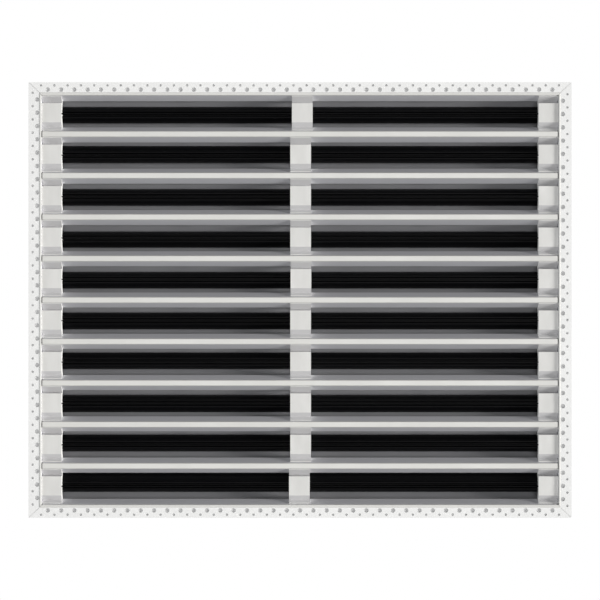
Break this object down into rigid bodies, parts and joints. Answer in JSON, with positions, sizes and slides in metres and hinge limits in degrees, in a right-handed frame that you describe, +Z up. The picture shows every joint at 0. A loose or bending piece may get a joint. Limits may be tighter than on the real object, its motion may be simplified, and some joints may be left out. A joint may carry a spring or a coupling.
{
  "type": "linear slot air grille",
  "caption": "Plaster-in rectangular air grille: perforated flange frame, thin divider bars, and a pair of swinging black deflector blades in each slot.",
  "frame": {"origin": "centre of the opening in the plane of the wall surface, which is the back face of the perforated flange", "axes": "+Z up, X along the slots, -Y out of the wall into the room, +Y into the wall"},
  "size_m": [0.5236, 0.0412, 0.42],
  "materials": {
    "frame_powder_coat": "satin white powder coat",
    "bar_powder_coat": "satin white powder coat, slightly warmer than the frame",
    "blade_black": "satin black powder coat",
    "clip_plastic": "moulded white plastic with a fine texture",
    "zinc_steel": "bright zinc plate",
    "spacer_nylon": "natural nylon",
    "mill_aluminium": "mill finish with fine rolling lines"
  },
  "bodies": {
    "grille_frame": {"frame_top": "frame_powder_coat", "frame_bottom": "frame_powder_coat", "frame_left": "frame_powder_coat", "frame_right": "frame_powder_coat", "divider_bar_1": "bar_powder_coat", "divider_bar_2": "bar_powder_coat", "divider_bar_3": "bar_powder_coat", "divider_bar_4": "bar_powder_coat", "divider_bar_5": "bar_powder_coat", "divider_bar_6": "bar_powder_coat", "divider_bar_7": "bar_powder_coat", "divider_bar_8": "bar_powder_coat", "divider_bar_9": "bar_powder_coat", "centre_vane_1": "blade_black", "centre_vane_2": "blade_black", "centre_vane_3": "blade_black", "centre_vane_4": "blade_black", "centre_vane_5": "blade_black", "centre_vane_6": "blade_black", "centre_vane_7": "blade_black", "centre_vane_8": "blade_black", "centre_vane_9": "blade_black", "centre_vane_10": "blade_black", "left_clips": "clip_plastic", "centre_clips": "clip_plastic", "right_clips": "clip_plastic", "bar_screws": "zinc_steel", "bar_spacers": "spacer_nylon", "rear_strap_left": "mill_aluminium", "rear_strap_right": "mill_aluminium", "strap_rivets": "mill_aluminium", "corner_brackets": "mill_aluminium", "corner_rivets": "mill_aluminium"},
    "upper_blade_1": {"upper_blade_1": "blade_black"},
    "lower_blade_1": {"lower_blade_1": "blade_black"},
    "upper_blade_2": {"upper_blade_2": "blade_black"},
    "lower_blade_2": {"lower_blade_2": "blade_black"},
    "upper_blade_3": {"upper_blade_3": "blade_black"},
    "lower_blade_3": {"lower_blade_3": "blade_black"},
    "upper_blade_4": {"upper_blade_4": "blade_black"},
    "lower_blade_4": {"lower_blade_4": "blade_black"},
    "upper_blade_5": {"upper_blade_5": "blade_black"},
    "lower_blade_5": {"lower_blade_5": "blade_black"},
    "upper_blade_6": {"upper_blade_6": "blade_black"},
    "lower_blade_6": {"lower_blade_6": "blade_black"},
    "upper_blade_7": {"upper_blade_7": "blade_black"},
    "lower_blade_7": {"lower_blade_7": "blade_black"},
    "upper_blade_8": {"upper_blade_8": "blade_black"},
    "lower_blade_8": {"lower_blade_8": "blade_black"},
    "upper_blade_9": {"upper_blade_9": "blade_black"},
    "lower_blade_9": {"lower_blade_9": "blade_black"},
    "upper_blade_10": {"upper_blade_10": "blade_black"},
    "lower_blade_10": {"lower_blade_10": "blade_black"}
  },
  "joints": [
    {"name": "upper_blade_1_swing", "type": "hinge", "parent": "grille_frame", "child": "upper_blade_1", "pos_m": [0, 0.0072, 0.183], "axis": [1, 0, 0], "range_deg": [-24, 36]},
    {"name": "lower_blade_1_swing", "type": "hinge", "parent": "grille_frame", "child": "lower_blade_1", "pos_m": [0, 0.0072, 0.177], "axis": [-1, 0, 0], "range_deg": [-25, 35]},
    {"name": "upper_blade_2_swing", "type": "hinge", "parent": "grille_frame", "child": "upper_blade_2", "pos_m": [0, 0.0072, 0.143], "axis": [1, 0, 0], "range_deg": [-37, 23]},
    {"name": "lower_blade_2_swing", "type": "hinge", "parent": "grille_frame", "child": "lower_blade_2", "pos_m": [0, 0.0072, 0.137], "axis": [-1, 0, 0], "range_deg": [-16, 44]},
    {"name": "upper_blade_3_swing", "type": "hinge", "parent": "grille_frame", "child": "upper_blade_3", "pos_m": [0, 0.0072, 0.103], "axis": [1, 0, 0], "range_deg": [-24, 36]},
    {"name": "lower_blade_3_swing", "type": "hinge", "parent": "grille_frame", "child": "lower_blade_3", "pos_m": [0, 0.0072, 0.097], "axis": [-1, 0, 0], "range_deg": [-26, 34]},
    {"name": "upper_blade_4_swing", "type": "hinge", "parent": "grille_frame", "child": "upper_blade_4", "pos_m": [0, 0.0072, 0.063], "axis": [1, 0, 0], "range_deg": [-16, 44]},
    {"name": "lower_blade_4_swing", "type": "hinge", "parent": "grille_frame", "child": "lower_blade_4", "pos_m": [0, 0.0072, 0.057], "axis": [-1, 0, 0], "range_deg": [-32, 28]},
    {"name": "upper_blade_5_swing", "type": "hinge", "parent": "grille_frame", "child": "upper_blade_5", "pos_m": [0, 0.0072, 0.023], "axis": [1, 0, 0], "range_deg": [-20, 40]},
    {"name": "lower_blade_5_swing", "type": "hinge", "parent": "grille_frame", "child": "lower_blade_5", "pos_m": [0, 0.0072, 0.017], "axis": [-1, 0, 0], "range_deg": [-30, 30]},
    {"name": "upper_blade_6_swing", "type": "hinge", "parent": "grille_frame", "child": "upper_blade_6", "pos_m": [0, 0.0072, -0.017], "axis": [1, 0, 0], "range_deg": [-23, 37]},
    {"name": "lower_blade_6_swing", "type": "hinge", "parent": "grille_frame", "child": "lower_blade_6", "pos_m": [0, 0.0072, -0.023], "axis": [-1, 0, 0], "range_deg": [-28, 32]},
    {"name": "upper_blade_7_swing", "type": "hinge", "parent": "grille_frame", "child": "upper_blade_7", "pos_m": [0, 0.0072, -0.057], "axis": [1, 0, 0], "range_deg": [-30, 30]},
    {"name": "lower_blade_7_swing", "type": "hinge", "parent": "grille_frame", "child": "lower_blade_7", "pos_m": [0, 0.0072, -0.063], "axis": [-1, 0, 0], "range_deg": [-20, 40]},
    {"name": "upper_blade_8_swing", "type": "hinge", "parent": "grille_frame", "child": "upper_blade_8", "pos_m": [0, 0.0072, -0.097], "axis": [1, 0, 0], "range_deg": [-21, 39]},
    {"name": "lower_blade_8_swing", "type": "hinge", "parent": "grille_frame", "child": "lower_blade_8", "pos_m": [0, 0.0072, -0.103], "axis": [-1, 0, 0], "range_deg": [-32, 28]},
    {"name": "upper_blade_9_swing", "type": "hinge", "parent": "grille_frame", "child": "upper_blade_9", "pos_m": [0, 0.0072, -0.137], "axis": [1, 0, 0], "range_deg": [-31, 29]},
    {"name": "lower_blade_9_swing", "type": "hinge", "parent": "grille_frame", "child": "lower_blade_9", "pos_m": [0, 0.0072, -0.143], "axis": [-1, 0, 0], "range_deg": [-21, 39]},
    {"name": "upper_blade_10_swing", "type": "hinge", "parent": "grille_frame", "child": "upper_blade_10", "pos_m": [0, 0.0072, -0.177], "axis": [1, 0, 0], "range_deg": [-59, 1]},
    {"name": "lower_blade_10_swing", "type": "hinge", "parent": "grille_frame", "child": "lower_blade_10", "pos_m": [0, 0.0072, -0.183], "axis": [-1, 0, 0], "range_deg": [-17, 43]}
  ]
}
